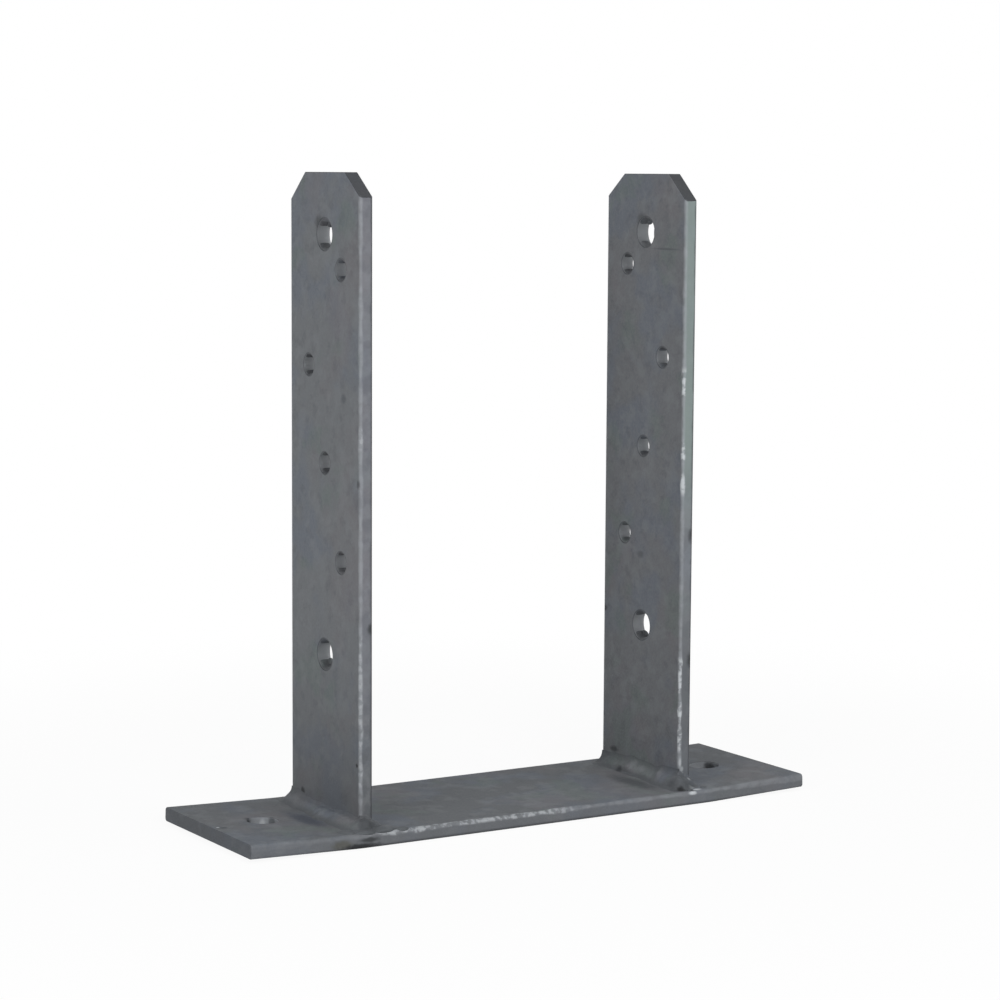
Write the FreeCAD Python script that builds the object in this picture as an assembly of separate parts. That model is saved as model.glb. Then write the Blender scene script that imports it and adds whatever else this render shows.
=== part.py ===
import FreeCAD, Part
import math
import os

# A welded U-shaped post base. A flat-bar plate lies on the concrete and two
# flat-bar uprights stand on it, one on each side of the timber post.
# X runs along the plate, Y across it, Z up. The origin is the middle of the
# plate's underside. All sizes are in millimetres.

# Driving dimensions
post_gap = 151.0                # clear width between the uprights
upright_width = 60.0
upright_thickness = 6.0
upright_length = 264.0
clip_across = 13.0              # top corner clips, measured along the top end
near_clip_down = 10.0           # clip beside the edge that the long bead wraps, measured down the edge
far_clip_down = 11.5            # the other clip
upright_arris = 1.2             # rolled long edges of a bar, with their zinc
cut_arris = 0.4                 # sheared ends and clips, with their zinc
plate_width = 80.0
plate_thickness = 6.0
plate_overhang = 54.0           # from an upright's outer face to the plate's end
end_lift = 1.5                  # weld shrinkage lifts each free end of the plate
bend_run = 8.0                  # length over which the plate takes that bend
plate_arris = 1.5

anchor_diameter = 13.0
anchor_from_end = 25.0
anchor_rim = 0.3                # chamfer that the punch and the zinc leave on a hole's rims
bolt_diameter = 13.0            # cross bolts through the post
bolt_rim = 0.25
top_bolt_from_end = 25.0
screw_diameter = 9.0            # screws into the post's two faces
screw_rim = 0.2
first_screw_drop = 14.0         # first screw hole, below the top bolt hole
screw_pitch = 39.5              # from hole to hole, down to the lower bolt hole
screw_stagger = 13.8            # screw holes beside the centre line

weld_sink = 1.0                 # how far a raw bead reaches into the bars before it is trimmed
inner_weld_short = 8.0          # the far-side beads start this far in from the edge
# Bead sizes at stations along a run: share of the run, leg on the plate, leg up the bar
flat_bead = ((0.0, 6.0, 4.6), (0.35, 7.2, 4.6), (0.6, 9.2, 4.4), (1.0, 8.8, 5.2))
tall_bead = ((0.0, 4.8, 5.6), (0.3, 4.2, 7.4), (0.65, 5.2, 6.8), (1.0, 7.4, 7.2))
plain_bead = ((0.0, 5.0, 4.6), (0.5, 5.4, 5.2), (1.0, 5.2, 5.0))
bead_crown = 0.06               # how far a bead's face bulges, as a share of its width
bead_flats = 4                  # flat strips that make up a bead's bulging face
flat_wrap = 0.9                 # a bead's size where it ends, round the bar's edge, as a share of its last station
tall_wrap = 0.45
plain_wrap = 0.7
match = 0.01                    # how near an edge must lie to a hole's wall to be its rim

# Sizes that follow
upright_centre = (post_gap + upright_thickness) / 2.0
half_plate = post_gap / 2.0 + upright_thickness + plate_overhang
top_of_plate = plate_thickness
vertical = FreeCAD.Vector(0, 0, 1)


def point(x, y, z):
    return FreeCAD.Vector(x, y, z)


def lines_through(points):
    """Straight edges from each point to the next."""
    return [Part.makeLine(a, b) for a, b in zip(points, points[1:])]


def is_rim(edge, centre, axis, diameter):
    """True for a closed edge that runs round the hole's wall."""
    if not edge.isClosed():
        return False
    first, last = edge.ParameterRange
    offsets = [edge.valueAt(first + share * (last - first)) - centre for share in (0.0, 0.25, 0.5, 0.75)]
    radii = [(offset - axis * offset.dot(axis)).Length for offset in offsets]
    return all(abs(radius - diameter / 2.0) < match for radius in radii)


def drilled(bar, centre, axis, diameter, rim, thickness):
    """Cuts a round hole through a bar, from well before it to well behind it, and breaks both rims."""
    tool = Part.makeCylinder(diameter / 2.0, 4 * thickness, centre - axis * (2 * thickness), axis)
    bar = bar.cut(tool)
    return bar.makeChamfer(rim, [edge for edge in bar.Edges if is_rim(edge, centre, axis, diameter)])


def make_plate():
    """The flat bar's side outline, bent up a little beyond each upright, drawn out across Y."""
    bend_start = half_plate - plate_overhang
    slope = math.atan(end_lift / (plate_overhang - bend_run / 2.0))
    outer_radius = bend_run / math.sin(slope)
    inner_radius = outer_radius - plate_thickness
    tip = point(half_plate, 0, end_lift)
    tip_top = tip + point(-math.sin(slope), 0, math.cos(slope)) * plate_thickness

    def on_bend(radius, angle):
        return point(bend_start + radius * math.sin(angle), 0, outer_radius - radius * math.cos(angle))

    def mirrored(p):
        return point(-p.x, p.y, p.z)

    under_arc = [on_bend(outer_radius, slope * share) for share in (0.0, 0.5, 1.0)]
    upper_arc = [on_bend(inner_radius, slope * share) for share in (1.0, 0.5, 0.0)]
    right = [Part.Arc(*under_arc).toShape(), Part.makeLine(under_arc[2], tip), Part.makeLine(tip, tip_top),
             Part.makeLine(tip_top, upper_arc[0]), Part.Arc(*upper_arc).toShape()]
    left_under = [mirrored(p) for p in under_arc]
    left_upper = [mirrored(p) for p in upper_arc]
    left = [Part.Arc(*left_upper[::-1]).toShape(), Part.makeLine(left_upper[0], mirrored(tip_top)),
            Part.makeLine(mirrored(tip_top), mirrored(tip)), Part.makeLine(mirrored(tip), left_under[2]),
            Part.Arc(*left_under[::-1]).toShape()]
    upper_middle = Part.makeLine(upper_arc[2], left_upper[2])
    under_middle = Part.makeLine(left_under[0], under_arc[0])
    outline = Part.Wire(right + [upper_middle] + left + [under_middle])
    bar = Part.Face(outline).extrude(point(0, plate_width, 0))
    bar.translate(point(0, -plate_width / 2.0, 0))
    boxes = [(edge, edge.BoundBox) for edge in bar.Edges]
    rolled = [edge for edge, box in boxes if box.YLength < match and box.ZLength < plate_thickness / 2.0]
    bar = bar.makeFillet(plate_arris, rolled)
    ends = [edge for edge in bar.Edges if abs(edge.CenterOfMass.x) > half_plate - plate_thickness]
    bar = bar.makeFillet(cut_arris, [edge for edge in ends if edge.BoundBox.XLength < plate_thickness])
    for side in (-1.0, 1.0):
        centre = point(side * (half_plate - anchor_from_end), 0, 0)
        bar = drilled(bar, centre, vertical, anchor_diameter, anchor_rim, plate_thickness)
    return bar.Solids[0]


def make_upright():
    """A clipped flat bar standing on the plate, centred on X = 0, with its hole pattern."""
    half = upright_width / 2.0
    top = top_of_plate + upright_length
    outline = [(-half, top_of_plate), (half, top_of_plate), (half, top - far_clip_down),
               (half - clip_across, top), (clip_across - half, top), (-half, top - near_clip_down)]
    face_x = -upright_thickness / 2.0
    corners = [point(face_x, y, z) for y, z in outline]
    wire = Part.Wire(lines_through(corners + corners[:1]))
    bar = Part.Face(wire).extrude(point(upright_thickness, 0, 0))
    rolled = [edge for edge in bar.Edges if edge.BoundBox.ZLength > upright_length / 2.0]
    bar = bar.makeFillet(upright_arris, rolled)
    clipped = top - max(near_clip_down, far_clip_down) - match
    bar = bar.makeFillet(cut_arris, [edge for edge in bar.Edges if edge.BoundBox.ZMin > clipped])

    across = point(1, 0, 0)
    top_bolt = top - top_bolt_from_end
    first_screw = top_bolt - first_screw_drop
    for side, row in ((-1.0, 0), (1.0, 1), (0.0, 2), (-1.0, 3)):
        centre = point(0, side * screw_stagger, first_screw - row * screw_pitch)
        bar = drilled(bar, centre, across, screw_diameter, screw_rim, upright_thickness)
    low_bolt = first_screw - 4 * screw_pitch
    for height in (top_bolt, low_bolt):
        centre = point(0, 0, height)
        bar = drilled(bar, centre, across, bolt_diameter, bolt_rim, upright_thickness)
    return bar.Solids[0]


def bead_section(corner, outward, leg_out, leg_up, sink):
    """Outline of a bead cut square to its run: a leg on the plate, a leg up the bar, a bulging face.

    corner is where the bar's face meets the plate, and outward points away from the bar. At the
    share t of the way from toe to crest the face stands 4 t (1 - t) times its bulge out of the chord."""
    toe = corner + outward * leg_out
    crest = corner + vertical * leg_up
    bulge = (vertical * leg_out + outward * leg_up) * bead_crown
    shares = [step / bead_flats for step in range(bead_flats + 1)]
    face = [toe + (crest - toe) * t + bulge * (4 * t * (1 - t)) for t in shares]
    below = vertical * -weld_sink
    inside = outward * -sink
    behind = [corner + inside + vertical * leg_up, corner + inside + below] if sink else [corner + below]
    return Part.Wire(lines_through(face + behind + [toe + below, toe]))


def bead_turn(corner, outward, angle, leg_out, leg_up):
    """The bead carried round a bar's upright edge: its section turned about that edge."""
    face = Part.Face(bead_section(corner, outward, leg_out, leg_up, 0.0))
    return face.revolve(corner, vertical, angle)


def make_bead(stations, wrap_share, short):
    """A bead along the -X face of an upright centred on X = 0, wrapped round its -Y edge.

    It starts short of the +Y edge with a round end, and dies out round the far corner."""
    half = upright_width / 2.0
    face_x = -upright_thickness / 2.0
    first, last = stations[0], stations[-1]
    start_y = half - short - first[1]
    from_face = point(-1, 0, 0)
    from_edge = point(0, -1, 0)

    sections = []
    for share, leg_out, leg_up in stations:
        corner = point(face_x, start_y - share * (start_y + half), top_of_plate)
        sections.append(bead_section(corner, from_face, leg_out, leg_up, weld_sink))
    run = Part.makeLoft(sections, True, False)
    start_corner = point(face_x, start_y, top_of_plate)
    round_start = bead_turn(start_corner, from_face, -90, first[1], first[2])
    edge_corner = point(face_x, -half, top_of_plate)
    round_edge = bead_turn(edge_corner, from_face, 90, last[1], last[2])

    end_out = last[1] * wrap_share
    end_up = last[2] * wrap_share
    end_corner = point(upright_thickness / 2.0 - end_out / 2.0, -half, top_of_plate)
    wrap = Part.makeLoft([bead_section(edge_corner, from_edge, last[1], last[2], weld_sink),
                          bead_section(end_corner, from_edge, end_out, end_up, weld_sink)], True, False)
    round_end = bead_turn(end_corner, from_edge, 90, end_out, end_up)
    return run.multiFuse([round_start, round_edge, wrap, round_end]).removeSplitter()


def seated(bead, neighbours):
    """Trims a raw bead to the faces that it is fused to."""
    for neighbour in neighbours:
        bead = bead.cut(neighbour)
    return max(bead.Solids, key=lambda solid: solid.Volume)


def placed(shape, side, turned):
    """Moves a shape made at X = 0 to an upright, turned half a turn about that upright's axis or not."""
    shape = shape.copy()
    if turned:
        shape.rotate(point(0, 0, 0), vertical, 180)
    shape.translate(point(side * upright_centre, 0, 0))
    return shape


plate = make_plate()
upright = make_upright()
left_upright = placed(upright, -1, False)
right_upright = placed(upright, 1, True)
left_outer = seated(placed(make_bead(flat_bead, flat_wrap, 0.0), -1, False), [plate, left_upright])
left_inner = seated(placed(make_bead(plain_bead, plain_wrap, inner_weld_short), -1, True), [plate, left_upright, left_outer])
right_inner = seated(placed(make_bead(tall_bead, tall_wrap, 0.0), 1, False), [plate, right_upright])
right_outer = seated(placed(make_bead(plain_bead, plain_wrap, inner_weld_short), 1, True),
                     [plate, right_upright, right_inner])

nodes = {
    "base_plate": plate,
    "left_upright": left_upright,
    "right_upright": right_upright,
    "left_outer_weld": left_outer,
    "left_inner_weld": left_inner,
    "right_inner_weld": right_inner,
    "right_outer_weld": right_outer,
}
os.makedirs("parts", exist_ok=True)
for name, shape in nodes.items():
    shape.exportStep("parts/" + name + ".step")
    print(name, shape.ShapeType, len(shape.Solids), "solid", round(shape.Volume, 1), "mm3", shape.isValid())
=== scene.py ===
import bpy
import math
import numpy as np
from mathutils import Matrix, Vector


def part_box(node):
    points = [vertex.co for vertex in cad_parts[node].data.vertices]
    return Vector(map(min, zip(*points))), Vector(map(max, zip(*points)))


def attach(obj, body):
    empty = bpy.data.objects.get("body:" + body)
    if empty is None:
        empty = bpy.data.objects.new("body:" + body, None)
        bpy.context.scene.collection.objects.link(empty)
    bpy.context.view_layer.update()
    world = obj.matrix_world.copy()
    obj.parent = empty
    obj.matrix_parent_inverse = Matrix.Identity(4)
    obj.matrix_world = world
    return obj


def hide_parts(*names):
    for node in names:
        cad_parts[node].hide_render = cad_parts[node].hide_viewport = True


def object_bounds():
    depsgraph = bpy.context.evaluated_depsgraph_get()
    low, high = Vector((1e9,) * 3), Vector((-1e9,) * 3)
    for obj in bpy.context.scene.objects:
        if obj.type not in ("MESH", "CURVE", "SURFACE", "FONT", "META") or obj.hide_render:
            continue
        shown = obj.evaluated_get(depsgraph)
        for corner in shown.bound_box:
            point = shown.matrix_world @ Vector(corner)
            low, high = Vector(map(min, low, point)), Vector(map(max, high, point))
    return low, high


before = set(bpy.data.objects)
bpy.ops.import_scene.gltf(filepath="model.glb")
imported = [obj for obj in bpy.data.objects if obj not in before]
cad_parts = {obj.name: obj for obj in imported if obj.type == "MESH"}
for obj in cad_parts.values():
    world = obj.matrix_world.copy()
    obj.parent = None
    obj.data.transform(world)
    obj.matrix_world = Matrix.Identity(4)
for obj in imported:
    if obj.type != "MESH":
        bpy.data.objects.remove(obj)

cad_low, cad_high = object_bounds()

# ---------------------------------------------------------------------------
# Base plate. A length of hot-rolled flat bar, 80 x 6 mm, sheared to length and
# punched for two anchors. The whole base was dipped in molten zinc after it was
# welded, so the bar has a matt grey skin with cloudy patches.
# ---------------------------------------------------------------------------


def linear(code):
    """A colour written as sRGB hex, turned to linear light: each channel c becomes
    ((c + 0.055) / 1.055) ** 2.4, or c / 12.92 where it is very dark."""
    channels = np.array([int(code[i:i + 2], 16) for i in (1, 3, 5)]) / 255.0
    low = channels / 12.92
    high = ((channels + 0.055) / 1.055) ** 2.4
    return tuple(np.where(channels <= 0.04045, low, high)) + (1.0,)


def add(tree, kind, inputs=None, **settings):
    """Adds one shader node with its settings. inputs gives an input, by name or number, a plain
    value, or a socket or node to link from, where a node stands for its first working output."""
    made = tree.nodes.new("ShaderNode" + kind)
    for name, value in settings.items():
        setattr(made, name, value)
    for name, value in (inputs or {}).items():
        if isinstance(value, bpy.types.Node):
            value = next(socket for socket in value.outputs if socket.enabled)
        if isinstance(value, bpy.types.NodeSocket):
            tree.links.new(value, made.inputs[name])
        else:
            made.inputs[name].default_value = value
    return made


def patches(tree, place, size, start, end, most=1.0):
    """The share of each point that patches about size metres across cover: cloudy noise, run
    through a smooth step from start to end, and no more than most."""
    cloud = add(tree, "TexNoise",
                {"Vector": place, "Scale": 1.0 / size, "Detail": 3.0, "Roughness": 0.55})
    return add(tree, "MapRange",
               {"Value": cloud, "From Min": start, "From Max": end, "To Max": most},
               interpolation_type="SMOOTHSTEP")


def coats(tree, colour, layers):
    """Lays colours one over another. Each layer is a share from 0 to 1 and an sRGB hex."""
    for share, code in layers:
        colour = add(tree, "Mix", {0: share, 6: colour, 7: linear(code)}, data_type="RGBA")
    return colour


def galvanised(name, base, grain_depth=0.00003, lump_depth=0.00008, dullest=0.78):
    """Hot-dip galvanised steel: zinc that froze on the hot bar as it was lifted out, gone dull in
    the air. It is a matt mid grey with hardly any sheen, with clouds of bluer, greener and browner
    grey, faint crystals and a mealy grain. dullest is the roughness of that grain. Returns the
    material with its node tree, the place, the colour, the height in metres and the roughness, for
    more to be laid over them."""
    skin = bpy.data.materials.new(name)
    skin.use_nodes = True
    tree = skin.node_tree
    place = add(tree, "TexCoord").outputs["Object"]
    # clouds 6 to 40 mm across, where the zinc froze sooner or later
    colour = coats(tree, linear(base), (
        (patches(tree, place, 0.031, 0.46, 0.60, 0.6), "#5e6570"),
        (patches(tree, place, 0.043, 0.52, 0.64, 0.6), "#69676a"),
        (patches(tree, place, 0.023, 0.56, 0.66, 0.5), "#5c6864"),
        (patches(tree, place, 0.0085, 0.48, 0.66, 0.40), "#75787b"),
        (patches(tree, place, 0.0062, 0.52, 0.66, 0.28), "#4b4e51"),
    ))
    # spangle: crystals 3 to 5 mm across, hardly lighter or darker than their neighbours
    crystals = add(tree, "TexVoronoi", {"Vector": place, "Scale": 1.0 / 0.0042, "Randomness": 1.0})
    shade = add(tree, "SeparateColor", {0: crystals.outputs["Color"]})
    faint = add(tree, "Math", {0: shade, 1: 0.12}, operation="MULTIPLY")
    # the mealy grain, drawn at about 1 mm where the real one is finer
    grain = patches(tree, place, 0.0010, 0.32, 0.72)
    fine = add(tree, "Math", {0: grain, 1: 0.20}, operation="MULTIPLY")
    colour = coats(tree, colour, ((faint, "#4c4f52"), (fine, "#8d9093")))
    lumps = add(tree, "TexNoise", {"Vector": place, "Scale": 1.0 / 0.006, "Detail": 3.0})
    relief = add(tree, "Math", {0: grain, 1: grain_depth}, operation="MULTIPLY")
    height = add(tree, "Math", {0: lumps, 1: lump_depth, 2: relief}, operation="MULTIPLY_ADD")
    roughness = add(tree, "MapRange", {"Value": grain, "To Min": dullest - 0.14, "To Max": dullest})
    return skin, tree, place, colour, height, roughness


def marks(tree, place, colour, height, places):
    """Small blemishes, with spots of painted shade and painted highlight among them. Each is a
    centre, three half sizes, a colour, and a height in metres, below 0 for a pit. One fades out
    about where the distance from its centre, each axis divided by its half size and with a little
    noise added, comes to 1."""
    ragged = add(tree, "TexNoise", {"Vector": place, "Scale": 1.0 / 0.0022, "Detail": 2.0})
    for centre, half, code, lift in places:
        offset = add(tree, "VectorMath", {0: place, 1: centre}, operation="SUBTRACT")
        shrunk = add(tree, "VectorMath", {0: offset, 1: half}, operation="DIVIDE")
        away = add(tree, "VectorMath", {0: shrunk}, operation="LENGTH")
        rim = add(tree, "Math", {0: ragged, 1: 0.6, 2: away}, operation="MULTIPLY_ADD")
        share = add(tree, "MapRange",
                    {"Value": rim, "From Min": 1.4, "From Max": 0.6, "To Max": 0.85},
                    interpolation_type="SMOOTHSTEP")
        colour = coats(tree, colour, ((share, code),))
        height = add(tree, "Math", {0: share, 1: lift, 2: height}, operation="MULTIPLY_ADD")
    return colour, height


def bores(tree, place, square, holes, margin):
    """1 on the walls of the holes and 0 elsewhere. square is 0 along the holes' axis and 1 across
    it, holes lists a centre, with 0 along that axis, and a radius, and a wall is nearer to the axis
    than that radius and margin."""
    walls = 0.0
    flat = add(tree, "VectorMath", {0: place, 1: square}, operation="MULTIPLY")
    for centre, radius in holes:
        away = add(tree, "VectorMath", {0: flat, 1: centre}, operation="DISTANCE")
        inside = add(tree, "Math", {0: away, 1: radius + margin}, operation="LESS_THAN")
        walls = add(tree, "Math", {0: inside, 1: walls}, operation="ADD")
    return walls


def arris_depth(tree, place, low, high):
    """How near a point of the skin lies to the nearest edge of the box low..high: 0 on the edge and
    minus the distance away from it. It is the second largest of |p - middle| - half size, made to
    wander by about half a millimetre by noise."""
    middle = (Vector(low) + Vector(high)) / 2
    half = (Vector(high) - Vector(low)) / 2
    offset = add(tree, "VectorMath", {0: place, 1: middle}, operation="SUBTRACT")
    size = add(tree, "VectorMath", {0: offset}, operation="ABSOLUTE")
    depth = add(tree, "VectorMath", {0: size, 1: half}, operation="SUBTRACT")
    parts = add(tree, "SeparateXYZ", {0: depth}).outputs
    nearest = add(tree, "Math", {0: parts[0], 1: parts[1]}, operation="MAXIMUM")
    other = add(tree, "Math", {0: parts[0], 1: parts[1]}, operation="MINIMUM")
    middling = add(tree, "Math", {0: nearest, 1: parts[2]}, operation="MINIMUM")
    depth = add(tree, "Math", {0: other, 1: middling}, operation="MAXIMUM")
    wander = add(tree, "TexNoise", {"Vector": place, "Scale": 1.0 / 0.007, "Detail": 2.0})
    wander = add(tree, "Math", {0: wander, 1: 0.0022, 2: -0.0011}, operation="MULTIPLY_ADD")
    return add(tree, "Math", {0: depth, 1: wander}, operation="ADD")


def worn_and_highlit(tree, place, colour, roughness, line, flecked, most):
    """Rub wear and a painted highlight along an arris: a soft light line where line is 1, thinner
    here and there, with flecks of painted highlight in it where flecked is 1 too, of which most is
    the share at their middle."""
    worn = patches(tree, place, 0.0050, 0.34, 0.62, 0.45)
    kept = add(tree, "Math", {0: worn, 1: 0.30}, operation="ADD")
    soft = add(tree, "Math", {0: line, 1: kept}, operation="MULTIPLY")
    specks = patches(tree, place, 0.0030, 0.42, 0.60, most)
    bright = add(tree, "Math", {0: specks, 1: line}, operation="MULTIPLY")
    bright = add(tree, "Math", {0: bright, 1: flecked}, operation="MULTIPLY")
    colour = coats(tree, colour, ((soft, "#85888c"), (bright, "#b6babd")))
    roughness = add(tree, "Math", {0: soft, 1: -0.16, 2: roughness}, operation="MULTIPLY_ADD")
    return colour, roughness


def finish(skin, colour, height, roughness):
    """Joins the colour, the relief in metres and the roughness to the material's shader."""
    tree = skin.node_tree
    shader = tree.nodes["Principled BSDF"]
    # years in the air have turned the top of the zinc into a dull crust, more mineral than metal
    shader.inputs["Metallic"].default_value = 0.20
    shader.inputs["Specular IOR Level"].default_value = 0.30
    relief = add(tree, "Bump", {"Height": height, "Strength": 1.0, "Distance": 1.0})
    tint = next(socket for socket in colour.outputs if socket.enabled)
    tree.links.new(tint, shader.inputs["Base Color"])
    tree.links.new(roughness.outputs[0], shader.inputs["Roughness"])
    tree.links.new(relief.outputs[0], shader.inputs["Normal"])
    return skin


plate_low, plate_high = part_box("base_plate")
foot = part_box("left_upright")[0].z
skin, tree, place, colour, height, roughness = galvanised(
    "galvanised_flat_bar_plate", "#5b5e61", dullest=0.92)
spot = add(tree, "SeparateXYZ", {0: place}).outputs
facing = add(tree, "SeparateXYZ", {0: add(tree, "NewGeometry").outputs["True Normal"]}).outputs
# painted shade and light by which way a face looks: the ends are painted darker than the faces,
# the long edges a little lighter, and painted shade runs along the lower arris
along = add(tree, "Math", {0: facing[0]}, operation="ABSOLUTE")
shaded_ends = add(tree, "MapRange", {"Value": along, "From Min": 0.5, "From Max": 0.8, "To Max": 0.55})
sideways = add(tree, "Math", {0: facing[1]}, operation="ABSOLUTE")
lit_long_edges = add(tree, "MapRange",
             {"Value": sideways, "From Min": 0.6, "From Max": 0.95, "To Max": 0.50})
lower_arris_shade = add(tree, "MapRange",
           {"Value": spot[2], "From Min": 0.0018, "From Max": 0.0002, "To Max": 0.75},
           interpolation_type="SMOOTHSTEP")
colour = coats(tree, colour, ((shaded_ends, "#4a4c50"), (lit_long_edges, "#66686c"), (lower_arris_shade, "#37393c")))
# painted light: the walls of the anchor holes are painted brighter than the faces
anchors = (((-0.1105, 0.0, 0.0), 0.0065), ((0.1105, 0.0, 0.0), 0.0065))
walls = bores(tree, place, (1.0, 1.0, 0.0), anchors, 0.0001)
colour = coats(tree, colour, ((walls, "#83868a"),))
# painted highlight over rub wear along the long top arrises, weakest at the left end, with flecks
# of painted highlight from the left upright to the middle
depth = arris_depth(tree, place, (plate_low.x - 0.1, plate_low.y, -0.1),
                    (plate_high.x + 0.1, plate_high.y, foot))
line = add(tree, "MapRange", {"Value": depth, "From Min": -0.0020, "From Max": -0.0009},
           interpolation_type="SMOOTHSTEP")
strength = add(tree, "MapRange", {"Value": spot[0], "From Min": -0.095, "From Max": -0.070,
                                  "To Min": 0.25, "To Max": 0.62})
line = add(tree, "Math", {0: line, 1: strength}, operation="MULTIPLY")
start = add(tree, "MapRange", {"Value": spot[0], "From Min": -0.090, "From Max": -0.070},
            interpolation_type="SMOOTHSTEP")
flecked = add(tree, "MapRange", {"Value": spot[0], "From Min": 0.030, "From Max": 0.000},
              interpolation_type="SMOOTHSTEP")
flecked = add(tree, "Math", {0: start, 1: flecked}, operation="MULTIPLY")
colour, roughness = worn_and_highlit(tree, place, colour, roughness, line, flecked, 0.9)
colour, height = marks(tree, place, colour, height, (
    # a stain under the spill of the left bead, on the front edge, and painted shade in the crevice
    # below
    ((-0.0950, -0.040, 0.0026), (0.0060, 0.003, 0.0026), "#53534e", 0.0),
    ((-0.0865, -0.040, 0.0010), (0.0110, 0.003, 0.0018), "#17181a", -0.0002),
    ((-0.0825, -0.040, 0.0034), (0.0055, 0.003, 0.0013), "#323436", -0.0002),
    # painted shade on the plate beside the beads, bluish beside the left one and darker beside the
    # right
    ((-0.0935, -0.0060, 0.006), (0.0060, 0.0200, 0.003), "#484c55", 0.0),
    ((0.0640, -0.0120, 0.006), (0.0060, 0.0220, 0.003), "#4a4d50", 0.0),
    # a pit painted black as shade, and bright blobs of painted highlight, at the foot of the right
    # upright
    ((0.0728, -0.0362, 0.0060), (0.0026, 0.0022, 0.003), "#0e0f10", -0.0004),
    ((0.0800, -0.0374, 0.0060), (0.0026, 0.0018, 0.003), "#c0c4c7", 0.0001),
    ((0.0762, -0.0398, 0.0054), (0.0026, 0.0014, 0.0012), "#c0c4c7", 0.0001),
    # a dent near the left end, painted darker as shade, with a painted highlight beside it
    ((-0.1312, -0.0070, 0.006), (0.0024, 0.0024, 0.003), "#3d3f42", -0.0002),
    ((-0.1331, -0.0053, 0.006), (0.0011, 0.0011, 0.003), "#c8ccce", 0.0),
    # a painted highlight and painted shade on the walls of the anchor holes
    ((-0.1076, 0.0054, 0.0035), (0.0017, 0.0020, 0.0030), "#a4a8ab", 0.0),
    ((-0.1146, 0.0050, 0.0050), (0.0026, 0.0026, 0.0030), "#303234", 0.0),
    ((-0.1046, 0.0028, 0.0050), (0.0016, 0.0026, 0.0026), "#54575a", 0.0),
    ((0.1156, 0.0032, 0.0040), (0.0032, 0.0040, 0.0040), "#232527", 0.0),
))
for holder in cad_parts["base_plate"].material_slots:
    holder.material = finish(skin, colour, height, roughness)

# ---------------------------------------------------------------------------
# Uprights. Two lengths of 60 x 6 mm hot-rolled flat bar with clipped top corners,
# each punched for two bolts and four screws. They were dipped with the plate and
# have the same zinc skin, worn bright along the arrises that stand towards the
# left, with a painted highlight laid over that wear.
# ---------------------------------------------------------------------------


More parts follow.
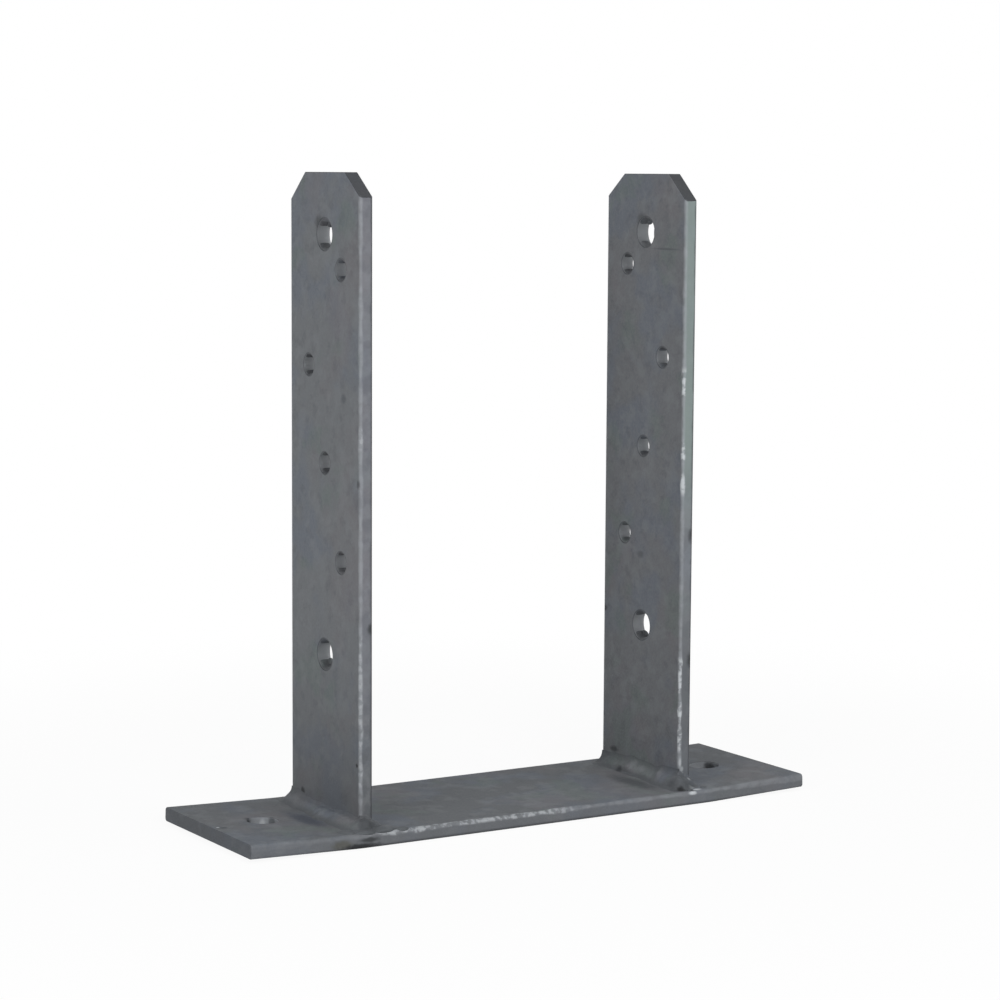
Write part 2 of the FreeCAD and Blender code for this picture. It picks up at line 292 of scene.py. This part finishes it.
def upright_skin(name, node, base, smoke, bloom, bright, flecks, places, holes):
    """The zinc skin of one upright. smoke is the share of soot at its foot. bloom lists colours and
    shares laid over its front edge, with the heights in metres where each one starts and is whole.
    bright lists the heights between which the arris has flecks of painted highlight, flecks is
    their share, places lists its blemishes, and holes the centre and the radius of each hole."""
    skin, tree, place, colour, height, roughness = galvanised(name, base)
    low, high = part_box(node)
    spot = add(tree, "SeparateXYZ", {0: place}).outputs
    facing = add(tree, "SeparateXYZ", {0: add(tree, "NewGeometry").outputs["True Normal"]}).outputs
    front = add(tree, "MapRange",
                {"Value": spot[1], "From Min": low.y + 0.0006, "From Max": low.y + 0.0001})
    # chalky patches and dull ones, 4 to 6 mm across, on the front edge
    chalk = add(tree, "Math", {0: patches(tree, place, 0.0045, 0.44, 0.64, 0.16), 1: front},
                operation="MULTIPLY")
    dull = add(tree, "Math", {0: patches(tree, place, 0.0062, 0.46, 0.62, 0.45), 1: front},
               operation="MULTIPLY")
    colour = coats(tree, colour, ((chalk, "#8c9096"), (dull, "#56595e")))
    for code, share, start, whole in bloom:
        rise = add(tree, "MapRange",
                   {"Value": spot[2], "From Min": start, "From Max": whole, "To Max": share},
                   interpolation_type="SMOOTHSTEP")
        laid = add(tree, "Math", {0: rise, 1: front}, operation="MULTIPLY")
        colour = coats(tree, colour, ((laid, code),))
    # painted shade: the top and the clips, which face upwards, are painted darker than the other
    # faces
    shaded_ends = add(tree, "MapRange",
                  {"Value": facing[2], "From Min": 0.35, "From Max": 0.55, "To Max": 0.85})
    colour = coats(tree, colour, ((shaded_ends, "#2a2c2f"),))
    # smoke from the welding darkened the foot
    soot = add(tree, "MapRange",
               {"Value": spot[2], "From Min": 0.090, "From Max": 0.015, "To Max": smoke},
               interpolation_type="SMOOTHSTEP")
    colour = coats(tree, colour, ((soot, "#46484b"),))
    # along the arrises, rub wear and a painted highlight on the left face, and painted shade with
    # some dirt on the right one, but not at the top
    depth = arris_depth(tree, place, (low.x, low.y, -0.05), (high.x, high.y, high.z + 0.05))
    line = add(tree, "MapRange", {"Value": depth, "From Min": -0.0017, "From Max": -0.0007},
               interpolation_type="SMOOTHSTEP")
    middle = (low.x + high.x) / 2
    left = add(tree, "MapRange",
               {"Value": spot[0], "From Min": middle, "From Max": middle - 0.002})
    right = add(tree, "MapRange",
                {"Value": spot[0], "From Min": middle, "From Max": middle + 0.002})
    clean = add(tree, "Math", {0: 1.0, 1: shaded_ends}, operation="SUBTRACT")
    line = add(tree, "Math", {0: line, 1: clean}, operation="MULTIPLY")
    grime_and_shade = add(tree, "Math", {0: line, 1: right}, operation="MULTIPLY")
    grime_and_shade = add(tree, "Math", {0: grime_and_shade, 1: 0.55}, operation="MULTIPLY")
    colour = coats(tree, colour, ((grime_and_shade, "#3b3d40"),))
    line = add(tree, "Math", {0: line, 1: left}, operation="MULTIPLY")
    flecked = 0.0
    for start, end in bright:
        rise = add(tree, "MapRange",
                   {"Value": spot[2], "From Min": start - 0.004, "From Max": start},
                   interpolation_type="SMOOTHSTEP")
        fall = add(tree, "MapRange", {"Value": spot[2], "From Min": end + 0.004, "From Max": end},
                   interpolation_type="SMOOTHSTEP")
        flecked = add(tree, "Math", {0: rise, 1: fall, 2: flecked}, operation="MULTIPLY_ADD")
    near = add(tree, "MapRange",
               {"Value": spot[1], "From Min": low.y + 0.004, "From Max": low.y + 0.002})
    flecked = add(tree, "Math", {0: flecked, 1: near}, operation="MULTIPLY")
    colour, roughness = worn_and_highlit(tree, place, colour, roughness, line, flecked, flecks)
    colour, height = marks(tree, place, colour, height, places)
    # the rims of the holes are dull, and their walls carry painted light, brighter towards the
    # right
    rims = add(tree, "Math", {0: bores(tree, place, (0.0, 1.0, 1.0), holes, 0.0005), 1: 0.60},
               operation="MULTIPLY")
    walls = bores(tree, place, (0.0, 1.0, 1.0), holes, 0.00002)
    inward = add(tree, "MapRange", {"Value": spot[0], "From Min": low.x, "From Max": high.x,
                                    "To Min": 0.15, "To Max": 0.80})
    lit_walls = add(tree, "Math", {0: walls, 1: inward}, operation="MULTIPLY")
    plain = add(tree, "Mix", {0: walls, 6: linear("#47494c"), 7: linear("#63666a")},
                data_type="RGBA")
    colour = add(tree, "Mix", {0: rims, 6: colour, 7: plain}, data_type="RGBA")
    colour = coats(tree, colour, ((lit_walls, "#a6a9ac"),))
    roughness = add(tree, "Math", {0: walls, 1: -0.12, 2: roughness}, operation="MULTIPLY_ADD")
    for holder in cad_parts[node].material_slots:
        holder.material = finish(skin, colour, height, roughness)


# the heights of the two bolt holes and of the first of four staggered screw holes, how far these
# lie apart and beside the middle, and the radii
top_bolt, low_bolt, first_screw, pitch, stagger = 0.245, 0.073, 0.231, 0.0395, 0.0138
bolt, screw = 0.0065, 0.0045
left_holes = (((0.0, 0.0, top_bolt), bolt), ((0.0, 0.0, low_bolt), bolt),
              ((0.0, -stagger, first_screw), screw), ((0.0, stagger, first_screw - pitch), screw),
              ((0.0, 0.0, first_screw - 2 * pitch), screw),
              ((0.0, -stagger, first_screw - 3 * pitch), screw))
right_holes = tuple(((x, -y, z), radius) for (x, y, z), radius in left_holes)
upright_skin(
    "galvanised_flat_bar_left", "left_upright", "#676a6d", 0.28,
    (("#74757e", 0.30, 0.030, 0.060),), ((0.0250, 0.0830), (0.1620, 0.1660)), 0.34, (
        # a dark patch above the top bolt hole, and painted shade in two shallow dents, a nick in
        # the arris and a small pit
        ((-0.0815, 0.0045, 0.2495), (0.0020, 0.0046, 0.0040), "#45484b", 0.0),
        ((-0.0815, -0.0162, 0.1794), (0.002, 0.0030, 0.0024), "#55585c", -0.00020),
        ((-0.0815, -0.0284, 0.1458), (0.002, 0.0014, 0.0024), "#47494c", -0.00015),
        ((-0.0762, -0.0302, 0.0870), (0.0022, 0.0024, 0.0030), "#303234", -0.00025),
        ((-0.0815, -0.0276, 0.0313), (0.0016, 0.0012, 0.0010), "#1d1e20", -0.00020),
        # dross at the far end of the bead
        ((-0.0815, 0.0197, 0.0121), (0.0020, 0.0022, 0.0022), "#303133", -0.00020),
    ), left_holes)
upright_skin(
    "galvanised_flat_bar_right", "right_upright", "#65676a", 0.0,
    (("#7c8085", 0.40, -0.010, 0.010), ("#4c4f53", 0.50, 0.100, 0.055),
     ("#84938e", 0.58, 0.110, 0.160)),
    ((0.0240, 0.0600), (0.1360, 0.1400), (0.1500, 0.1540), (0.1780, 0.1850)), 0.90, (
        # a dark patch above the top bolt hole, and painted shade in a shallow dent
        ((0.0755, 0.0030, 0.2500), (0.0020, 0.0046, 0.0040), "#4d4f52", 0.0),
        ((0.0755, 0.0010, 0.1042), (0.0020, 0.0030, 0.0020), "#54575a", -0.00008),
        # a scratch right across the face, below the top screw hole
        ((0.0755, -0.0160, 0.2380), (0.0020, 0.0130, 0.0006), "#54565a", -0.00002),
        # painted shade in two dents in the front edge and one beside the back edge
        ((0.0812, -0.0302, 0.1158), (0.0026, 0.0030, 0.0044), "#303234", -0.00025),
        ((0.0812, -0.0302, 0.0613), (0.0026, 0.0030, 0.0044), "#303234", -0.00025),
        ((0.0755, 0.0285, 0.0770), (0.0020, 0.0022, 0.0018), "#3a3c3f", -0.00020),
        # dross above the bead, and a painted highlight that runs down the front edge to it
        ((0.0755, 0.0203, 0.0140), (0.0020, 0.0040, 0.0018), "#3c3e40", -0.00020),
        ((0.0763, -0.0300, 0.0170), (0.0009, 0.0014, 0.0026), "#a0a4a7", 0.00005),
        ((0.0772, -0.0300, 0.0138), (0.0010, 0.0014, 0.0016), "#94989b", 0.00005),
    ), right_holes)

# ---------------------------------------------------------------------------
# Weld beads. Each upright is fillet-welded to the plate by hand along both
# faces, and each bead is carried round the bar's edge. The zinc has filled the
# ripples of the pool and the toes, and left a soft, lumpy seam.
# ---------------------------------------------------------------------------


def smooth_waves(length, count, seed):
    """count values that wander between -1 and 1: sines of random pitch and phase, added up."""
    rng = np.random.default_rng(seed)
    s = np.linspace(0.0, length, count)
    total = np.zeros(count)
    for pitch, share in ((0.021, 0.5), (0.0095, 0.35), (0.0052, 0.15)):
        total += share * np.sin(2 * np.pi * (s / (pitch * rng.uniform(0.8, 1.25)) + rng.uniform()))
    return total


def grid_piece(name, rings, material, capped):
    """A closed piece from rings of points, lengths x rows x across x 3. In each length every ring
    is joined to the next. Where it is capped, its first and last rings are closed, and otherwise
    the last is joined to the first."""
    lengths, rows, across = rings.shape[:3]
    index = np.arange(lengths * rows * across).reshape(lengths, rows, across)
    a, b = index, np.roll(index, -1, 1)
    if capped:
        a, b = a[:, :-1], b[:, :-1]
    quads = np.stack([a, np.roll(a, -1, 2), np.roll(b, -1, 2), b], axis=3).reshape(-1, 4)
    faces = quads.tolist()
    if capped:
        faces += index[:, 0, ::-1].tolist() + index[:, -1].tolist()
    mesh = bpy.data.meshes.new(name)
    mesh.from_pydata(rings.reshape(-1, 3).tolist(), [], faces)
    corners = rings.reshape(-1, 3)[quads]
    volume = np.einsum("ij,ij->i", corners[:, 0], np.cross(corners[:, 1], corners[:, 2])
                       + np.cross(corners[:, 2], corners[:, 3])).sum()
    if volume < 0:
        mesh.flip_normals()
    mesh.update()
    mesh.shade_smooth()
    mesh.set_sharp_from_angle(angle=math.radians(60))
    mesh.materials.append(material)
    piece = bpy.data.objects.new(name, mesh)
    bpy.context.collection.objects.link(piece)
    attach(piece, "root")
    return piece


def bead(name, node, face_x, face_side, start_y, front_y, stations, wraps, shrink, seed, blobs):
    """A fillet bead. Its path runs along the bar's face at face_x from start_y to the bar's edge at
    front_y, and ends on that edge, the second of wraps in from the corner, as a share of the bar's
    thickness, and shrunk by shrink. It starts with a round end, or, where the first of wraps is
    above 0, on the far edge in the same way. stations give the share of the run and the leg on the
    plate and on the bar. From the toe to the crest, t = 0 to 1, a section goes through
    out * leg_out * (1 - t) ** 2 + up * leg_up * t ** 2, so both toes run out flat, plus a swell of
    sin(pi t) squared, square to its chord. The swell is slight at the start and a fifth of the
    chord from 30 mm on. The section closes inside the bar and the plate. Lumps are bells of random
    place, width and height on the swell. blobs adds more, listed one by one: the place along the
    path in metres, the share t, the width and the height."""
    steps, sunk, lap = 20, 0.001, 0.0004
    way = math.copysign(1.0, front_y - start_y)
    shares, outs, ups = np.array(stations).T
    first, last = np.array([outs[0], ups[0]]), np.array([outs[-1], ups[-1]])
    start, edge = np.array([face_x, start_y]), np.array([face_x, front_y])
    back = start - [face_side * bar * wraps[0], 0.0]
    end = edge - [face_side * bar * wraps[1], 0.0]
    tail, tip = (first if wraps[0] == 0 else first * shrink), last * shrink
    # each stretch of the path has its ends, its plan angles, its legs at both ends and how many
    # sections it takes; the plan angle is 0 out of the face and 90 degrees out of the near edge
    pieces = []
    for here, there, turn, legs, count in (
            (back, back, (-180.0 if wraps[0] else -90.0, -90.0), (tail, tail),
             14 if wraps[0] else 0),
            (back, start, (-90.0, -90.0), (tail, first), 12 if wraps[0] else 0),
            (start, start, (-90.0, 0.0), (first, first), 16),
            (start, edge, (0.0, 0.0), None, int(abs(front_y - start_y) / 0.0005)),
            (edge, edge, (0.0, 90.0), (last, last), 16),
            (edge, end, (90.0, 90.0), (last, tip), 12),
            (end, end, (90.0, 180.0), (tip, tip), 14)):
        t = np.linspace(0.0, 1.0, count, endpoint=False)[:, None]
        corner = here * (1 - t) + there * t
        angle = turn[0] + (turn[1] - turn[0]) * t
        if legs is None:
            size = np.column_stack([np.interp(t[:, 0], shares, outs),
                                    np.interp(t[:, 0], shares, ups)])
        else:
            size = legs[0] * (1 - t) + legs[1] * t
        pieces.append(np.column_stack([corner, angle, size]))
    path = np.concatenate(pieces)
    rows = len(path)
    corner, angle, legs = path[:, :2], np.radians(path[:, 2]), path[:, 3:]
    out = np.column_stack([np.cos(angle) * face_side, np.sin(angle) * way])

    # the pool was moved on by hand, so the legs come and go, and it filled out the corner
    toe = corner + out * legs[:, :1] * 0.6
    pace = np.concatenate([[0.0], np.cumsum(np.linalg.norm(np.diff(toe, axis=0), axis=1))])
    legs = legs * (1 + 0.11 * np.column_stack([smooth_waves(pace[-1], rows, seed),
                                               smooth_waves(pace[-1], rows, seed + 1)]))
    square = np.where((angle > 0) & (angle < np.pi / 2), np.sin(2 * angle) ** 2, 0.0)
    legs = legs * np.column_stack([1 + 0.30 * square, 1 - 0.06 * square])
    t = np.linspace(0.0, 1.0, steps)
    rng = np.random.default_rng(seed)
    count = int(pace[-1] / 0.0022)
    bells = np.column_stack([
        rng.uniform(0, pace[-1], count), rng.uniform(0.25, 0.8, count),
        rng.uniform(0.0012, 0.0030, count), rng.normal(0.0, 0.00024, count)])
    bells = np.concatenate([bells, np.array(blobs).reshape(-1, 4)])
    span = np.linalg.norm(legs, axis=1)[:, None, None]
    far = ((pace[:, None, None] - bells[:, 0]) ** 2
           + (span * (t[None, :, None] - bells[:, 1])) ** 2)
    lumps = (bells[:, 3] * np.exp(-far / bells[:, 2] ** 2)).sum(axis=2)
    chord = np.column_stack([legs[:, 1], legs[:, 0]]) / span[:, :, 0]
    plump = np.interp(pace, (0.0, 0.030), (0.02, 0.20))[:, None]
    t = t[None, :]
    swell = np.sin(np.pi * t) ** 2 * (plump * span[:, :, 0] + lumps)
    reach = legs[:, :1] * (1 - t) ** 2 + chord[:, :1] * swell
    rise = legs[:, 1:] * t ** 2 + chord[:, 1:] * swell
    face = np.stack([corner[:, :1] + out[:, :1] * reach, corner[:, 1:] + out[:, 1:] * reach,
                     foot + rise], axis=2)
    inner = corner - out * lap
    crest = np.column_stack([inner, foot + legs[:, 1]])
    heel = np.column_stack([inner, np.full(rows, foot - sunk)])
    below = np.column_stack([face[:, 0, :2], np.full(rows, foot - sunk)])
    rings = np.concatenate([face, np.stack([crest, heel, below], axis=1)], axis=1)
    piece = grid_piece(name, rings[None], seam, True)
    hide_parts(node)


skin, tree, place, colour, height, roughness = galvanised(
    "galvanised_weld_bead", "#5f6266", 0.00004, 0.00016, 0.84)
# painted shade along the toes on the bars and on the plate, and on the run round the edges
middle = (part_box("right_upright")[0].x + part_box("right_upright")[1].x) / 2
spot = add(tree, "SeparateXYZ", {0: place}).outputs
side = add(tree, "Math", {0: spot[0]}, operation="ABSOLUTE")
away = add(tree, "Math", {0: side, 1: middle}, operation="SUBTRACT")
away = add(tree, "Math", {0: away}, operation="ABSOLUTE")
near_bar_shade = add(tree, "MapRange",
            {"Value": away, "From Min": 0.0056, "From Max": 0.0034, "To Max": 0.36},
            interpolation_type="SMOOTHSTEP")
thin = add(tree, "MapRange",
           {"Value": spot[2], "From Min": foot + 0.0022, "From Max": foot + 0.0003},
           interpolation_type="SMOOTHSTEP")
colour = coats(tree, colour, ((thin, "#55585b"), (near_bar_shade, "#434649")))
colour, height = marks(tree, place, colour, height, (
    # painted shade on the front corners of both beads, and on the right one a pit painted black as
    # shade and a painted highlight
    ((0.0748, -0.0340, 0.0090), (0.0085, 0.0085, 0.0080), "#505356", 0.0),
    ((0.0700, -0.0355, 0.0095), (0.0036, 0.0040, 0.0060), "#46484b", 0.0),
    ((-0.0805, -0.0350, 0.0090), (0.0080, 0.0070, 0.0060), "#414447", 0.0),
    ((0.0728, -0.0362, 0.0064), (0.0026, 0.0022, 0.0020), "#0e0f10", -0.0004),
    ((0.0800, -0.0352, 0.0070), (0.0026, 0.0020, 0.0018), "#b0b4b7", 0.0001),
    # a painted highlight down the crest on the front edge
    ((0.0778, -0.0308, 0.0130), (0.0013, 0.0014, 0.0014), "#b0b4b7", 0.00005),
    ((0.0790, -0.0312, 0.0116), (0.0013, 0.0014, 0.0014), "#a4a8ab", 0.00005),
    ((0.0802, -0.0318, 0.0102), (0.0013, 0.0014, 0.0014), "#a4a8ab", 0.00005),
    # painted shade in a pit in the toe of the right bead
    ((0.0720, 0.0112, 0.0067), (0.0024, 0.0030, 0.0020), "#34363a", -0.0002),
    # painted light on the lumps of the right bead
    ((0.0728, 0.0027, 0.0115), (0.0030, 0.0036, 0.0022), "#7a7d80", 0.0),
    ((0.0728, -0.0044, 0.0101), (0.0030, 0.0040, 0.0020), "#74777a", 0.0),
    ((0.0728, -0.0176, 0.0116), (0.0030, 0.0030, 0.0018), "#707376", 0.0),
))
seam = finish(skin, colour, height, roughness)

left_low, left_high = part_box("left_upright")
right_low, right_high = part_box("right_upright")
bar = left_high.x - left_low.x
flat_bead = ((0.0, 0.0066, 0.0064), (0.2, 0.0070, 0.0056), (0.4, 0.0072, 0.0046),
             (0.6, 0.0092, 0.0044), (1.0, 0.0088, 0.0052))
tall_bead = ((0.0, 0.0048, 0.0056), (0.3, 0.0042, 0.0074), (0.65, 0.0052, 0.0068),
             (1.0, 0.0074, 0.0080))
plain_bead = ((0.0, 0.0050, 0.0046), (0.5, 0.0054, 0.0052), (1.0, 0.0052, 0.0050))
# the plain beads start this far in from the bar's edge
short = 0.008
bead("left_outer_bead", "left_outer_weld", left_low.x, -1, left_high.y, left_low.y,
     flat_bead, (0.5, 0.9), 0.72, 11,
     ((0.078, 0.5, 0.004, 0.0006), (0.084, 0.4, 0.003, 0.0005), (0.090, 0.3, 0.002, 0.0004)))
bead("left_inner_bead", "left_inner_weld", left_high.x, 1,
     left_low.y + short + plain_bead[0][1], left_high.y, plain_bead, (0.0, 0.7), 0.72, 23, ())
bead("right_inner_bead", "right_inner_weld", right_low.x, -1, right_high.y, right_low.y,
     tall_bead, (0.5, 0.95), 0.56, 37,
     ((0.0745, 0.55, 0.005, 0.0016), (0.083, 0.7, 0.002, 0.0006)))
bead("right_outer_bead", "right_outer_weld", right_high.x, 1,
     right_low.y + short + plain_bead[0][1], right_high.y, plain_bead, (0.0, 0.7), 0.72, 41, ())

# ---------------------------------------------------------------------------
# Zinc left behind. Molten zinc that ran together as the base was lifted out: a
# dark crust at the top and bottom of each hole, whose dark colour is also painted
# shade there, and drops of weld spatter under the skin beside the beads.
# ---------------------------------------------------------------------------


def crust(name, node, holes, depths):
    """The crust in an upright's holes, one closed sleeve a hole, whose dark zinc is also painted
    shade at the top and the bottom of the holes. depths lists how deep it is at the top and at the
    bottom of each. Round the hole the sleeve lies
    top * max(0, sin(a - 0.35)) ** 1.6 + bottom * max(0, -sin(a + 0.3)) ** 1.6 - hidden inside its
    wall, so it shows only at the top and the bottom, and it thins to nothing at both rims. Its
    outer side lies buried behind the wall, and its ends stop short of the bar's faces."""
    hidden, buried, stop = 0.00012, 0.0004, 0.0002
    low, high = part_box(node)
    turn = np.linspace(0.0, 2 * np.pi, 64, endpoint=False)[:, None]
    t = np.concatenate([np.linspace(0.0, 1.0, 9), [0.9, 0.1]])[None, :]
    shown = np.arange(11)[None, :] < 9
    lengths = []
    for number, (((_, y, z), radius), (top, bottom)) in enumerate(zip(holes, depths)):
        wave = smooth_waves(0.04, 64, 60 + number)[:, None]
        film = (top * np.clip(np.sin(turn - 0.35), 0, 1) ** 1.6
                + bottom * np.clip(-np.sin(turn + 0.3), 0, 1) ** 1.6)
        film = film * (1 + 0.25 * wave) * (1 - (2 * t - 1) ** 4) - hidden
        inside = radius - np.where(shown, film, -buried)
        across = low.x + stop + (high.x - low.x - 2 * stop) * t + turn * 0
        lengths.append(np.stack([across, y + np.cos(turn) * inside, z + np.sin(turn) * inside],
                                axis=2))
    grid_piece(name, np.stack(lengths), dross_and_shade, False)


def drops(name, places, material):
    """Drops of zinc or spatter. Each is a centre and three half sizes: a globe flattened to them,
    with dents of 0.07 * sin(down) * sin(3 turn) * sin(2 down) of its size, which differ from drop
    to drop. Its rings run from pole to pole."""
    down = np.linspace(0.02, np.pi - 0.02, 14)[:, None]
    turn = np.linspace(0.0, 2 * np.pi, 22, endpoint=False)[None, :]
    ball = np.stack([np.sin(down) * np.cos(turn), np.sin(down) * np.sin(turn),
                     np.cos(down) + 0 * turn], axis=2)
    lengths = []
    for number, (centre, half) in enumerate(places):
        dent = 1 + 0.07 * np.sin(down) * np.sin(3 * turn + number) * np.sin(2 * down + number)
        lengths.append(np.array(centre) + ball * dent[:, :, None] * np.array(half))
    grid_piece(name, np.stack(lengths), material, True)


# dark zinc for the crust and the drips; in the holes its dark colour is also painted shade
skin, tree, place, colour, height, roughness = galvanised(
    "galvanised_dross_and_shade", "#484a4d", 0.00005, 0.0001)
dross_and_shade = finish(skin, colour, height, roughness)
crust("left_hole_crust_and_shade", "left_upright", left_holes, (
    (0.0017, 0.0012), (0.0014, 0.0014), (0.0013, 0.0009),
    (0.0011, 0.0010), (0.0010, 0.0011), (0.0012, 0.0009)))
crust("right_hole_crust_and_shade", "right_upright", right_holes, (
    (0.0015, 0.0008), (0.0014, 0.0010), (0.0012, 0.0009),
    (0.0010, 0.0009), (0.0011, 0.0010), (0.0010, 0.0009)))
# drips froze across the bolt holes' far rims
drops("left_bolt_drips", (((-0.0765, 0.0042, 0.2502), (0.0012, 0.0026, 0.0026)),
                          ((-0.0765, 0.0042, 0.0681), (0.0012, 0.0024, 0.0024))), dross_and_shade)
drops("right_bolt_drips", (((0.0803, 0.0042, 0.2504), (0.0012, 0.0026, 0.0024)),
                           ((0.0763, -0.0066, 0.2445), (0.0008, 0.0008, 0.0038)),
                           ((0.0803, 0.0042, 0.0675), (0.0012, 0.0026, 0.0022))), dross_and_shade)
# the left bead spilled over the plate's front arris, and spatter froze beside both beads
drops("left_bead_spill", (((-0.0750, -0.0372, 0.0060), (0.0058, 0.0027, 0.0018)),
                          ((-0.0830, -0.0375, 0.0058), (0.0050, 0.0024, 0.0014)),
                          ((-0.0665, -0.0380, 0.0056), (0.0034, 0.0019, 0.0012)),
                          ((-0.0900, -0.0345, 0.0060), (0.0040, 0.0036, 0.0010))), seam)
drops("spatter", (((0.0762, -0.0378, 0.0060), (0.0016, 0.0013, 0.0008)),
                  ((0.0850, -0.0352, 0.0060), (0.0014, 0.0012, 0.0006)),
                  ((-0.0985, -0.0120, 0.0060), (0.0012, 0.0011, 0.0004))), seam)

# ---------------------------------------------------------------------------
# Floor and light. The base stands on a sheet of plain white paper, in soft light
# from the front left and a little from above, in a pale room.
# ---------------------------------------------------------------------------


def looked_at(tree):
    """1 for a ray of the eye, or one that a mirror or glass passes on, and 0 for one that gathers
    the light that falls on things."""
    rays = add(tree, "LightPath").outputs
    seen = add(tree, "Math", {0: rays["Is Camera Ray"], 1: rays["Is Glossy Ray"]},
               operation="MAXIMUM")
    return add(tree, "Math", {0: seen, 1: rays["Is Transmission Ray"]}, operation="MAXIMUM")


mesh = bpy.data.meshes.new("floor")
half, height = 20.0, cad_low.z - 0.0001
mesh.from_pydata([(-half, -half, height), (half, -half, height),
                  (half, half, height), (-half, half, height)], [], [(0, 1, 2, 3)])
mesh.update()
floor = bpy.data.objects.new("floor", mesh)
bpy.context.collection.objects.link(floor)
paper = bpy.data.materials.new("white_matt_paper")
paper.use_nodes = True
tree = paper.node_tree
tree.nodes.clear()
matt = add(tree, "BsdfDiffuse", {"Color": linear("#f4f4f4")})
plain = add(tree, "Emission", {"Color": (1.0, 1.0, 1.0, 1.0), "Strength": 1.0})
ground = add(tree, "TexCoord").outputs["Object"]
away = add(tree, "VectorMath", {0: ground}, operation="LENGTH")
far = add(tree, "MapRange",
          {"Value": away, "From Min": 0.18, "From Max": 0.50, "To Min": 0.93},
          interpolation_type="SMOOTHSTEP")
# the eye, and whatever mirrors the paper, sees it plain white, apart from a trace of shadow near
# the base
share = add(tree, "Math", {0: looked_at(tree), 1: far}, operation="MULTIPLY")
mixed = add(tree, "MixShader", {0: share, 1: matt, 2: plain})
add(tree, "OutputMaterial", {"Surface": mixed})
floor.data.materials.append(paper)

world = bpy.data.worlds.new("soft_room")
bpy.context.scene.world = world
world.use_nodes = True
tree = world.node_tree
tree.nodes.clear()
# the room is paler on the left, where its window is
way = add(tree, "SeparateXYZ", {0: add(tree, "TexCoord").outputs["Generated"]}).outputs
window = add(tree, "MapRange", {"Value": way[0], "From Min": -0.9, "From Max": 0.9,
                                "To Min": 0.26, "To Max": 0.22}, interpolation_type="SMOOTHSTEP")
room = add(tree, "Background", {"Color": (0.92, 0.93, 0.95, 1.0), "Strength": window})
white = add(tree, "Background", {"Color": (1.0, 1.0, 1.0, 1.0), "Strength": 1.0})
mixed = add(tree, "MixShader", {0: looked_at(tree), 1: room, 2: white})
add(tree, "OutputWorld", {"Surface": mixed})

# three lamps, each with its place, its width in metres and its watts
for name, place, size, power in (
        ("front_soft_box", (-0.20, -1.6, 0.70), 0.8, 13.5),
        ("left_soft_box", (-1.6, -0.70, 0.60), 0.7, 11.5),
        ("overhead_soft_box", (0.10, -0.35, 1.6), 0.9, 8.5)):
    light = bpy.data.lights.new(name, "AREA")
    light.shape = "SQUARE"
    light.size = size
    light.energy = power
    box = bpy.data.objects.new(name, light)
    box.location = place
    box.rotation_mode = "QUATERNION"
    box.rotation_quaternion = (Vector((0.0, 0.0, 0.12)) - Vector(place)).to_track_quat("-Z", "Y")
    bpy.context.collection.objects.link(box)

# ---------------------------------------------------------------------------
# Camera. It stands low, to the left of the front, with a long lens that takes in
# the whole base, tilted down and turned by a hair about its own axis.
# ---------------------------------------------------------------------------

azimuth, elevation, roll = math.radians(31.45), math.radians(6.54), math.radians(0.34)
distance = 1.21709
aim = Vector((0.00245, 0.0, 0.13226))
view = Vector((math.sin(azimuth) * math.cos(elevation), math.cos(azimuth) * math.cos(elevation),
               -math.sin(elevation)))
right = Vector((math.cos(azimuth), -math.sin(azimuth), 0.0))
up = right.cross(view)
across = right * math.cos(roll) + up * math.sin(roll)
above = up * math.cos(roll) - right * math.sin(roll)
camera = bpy.data.objects.new("camera", bpy.data.cameras.new("camera"))
camera.data.lens = 103.37
camera.data.sensor_width = 36.0
camera.data.clip_start = 0.01
camera.data.clip_end = 100.0
turn = Matrix((across, above, -view)).transposed().to_4x4()
turn.translation = aim - view * distance
camera.matrix_world = turn
bpy.context.collection.objects.link(camera)
bpy.context.scene.camera = camera
bpy.context.scene.view_settings.view_transform = "Standard"
